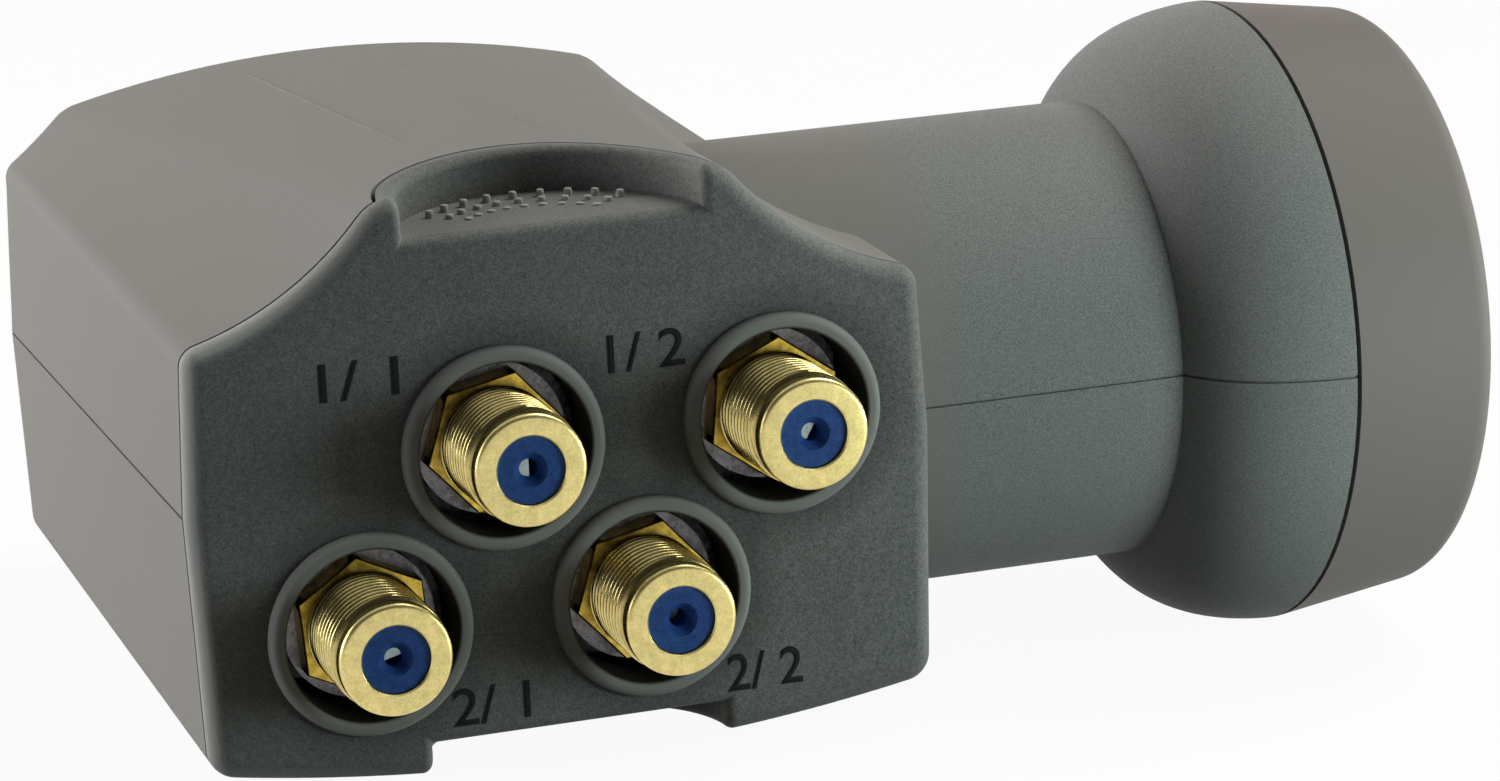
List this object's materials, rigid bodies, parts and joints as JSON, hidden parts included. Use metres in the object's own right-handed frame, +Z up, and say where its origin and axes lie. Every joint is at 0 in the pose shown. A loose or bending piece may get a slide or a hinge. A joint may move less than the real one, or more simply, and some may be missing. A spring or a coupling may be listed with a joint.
{
  "type": "satellite lnb",
  "caption": "Satellite low-noise block converter with a round clamp neck, flared horn cap and staggered threaded coaxial ports in a pull-out weather slide.",
  "frame": {"origin": "middle of the clamp neck, on the feed axis", "axes": "+X along the feed axis out of the horn, the ports face -Y, +Z up"},
  "size_m": [0.1148, 0.0831, 0.0552],
  "materials": {
    "shell_plastic": "fine-grained moulded grey, satin",
    "slide_plastic": "fine-grained moulded grey, satin",
    "cap_plastic": "smooth moulded grey, satin",
    "seal_rubber": "matt",
    "die_cast": "as cast, mottled",
    "screw_steel": "zinc plated",
    "board_laminate": "solder mask",
    "chip_resin": "matt",
    "can_steel": "plain",
    "gold_plate": "gold plated, turned",
    "bushing_plastic": "plain white",
    "insulator_blue": "smooth",
    "contact_metal": "plated"
  },
  "bodies": {
    "housing": {"upper_shell": "shell_plastic", "lower_shell": "shell_plastic", "horn_cap": "cap_plastic", "cap_seal": "seal_rubber", "cast_body": "die_cast", "tray_lid": "die_cast", "lid_screws": "screw_steel", "main_board": "board_laminate", "board_screws": "screw_steel", "mixer_chips": "chip_resin", "crystal_can": "can_steel", "regulators": "chip_resin", "vertical_probe": "gold_plate", "horizontal_probe": "gold_plate", "probe_bushings": "bushing_plastic", "cross_bar": "gold_plate", "port_seals": "seal_rubber", "port_vertical_low": "gold_plate", "insulator_vertical_low": "insulator_blue", "contact_vertical_low": "contact_metal", "port_horizontal_low": "gold_plate", "insulator_horizontal_low": "insulator_blue", "contact_horizontal_low": "contact_metal", "port_vertical_high": "gold_plate", "insulator_vertical_high": "insulator_blue", "contact_vertical_high": "contact_metal", "port_horizontal_high": "gold_plate", "insulator_horizontal_high": "insulator_blue", "contact_horizontal_high": "contact_metal"},
    "weather_slide": {"weather_slide": "slide_plastic"}
  },
  "joints": [
    {"name": "slide_pull", "type": "slide", "parent": "housing", "child": "weather_slide", "axis": [0, -1, 0], "range_m": [0, 0.013]}
  ]
}
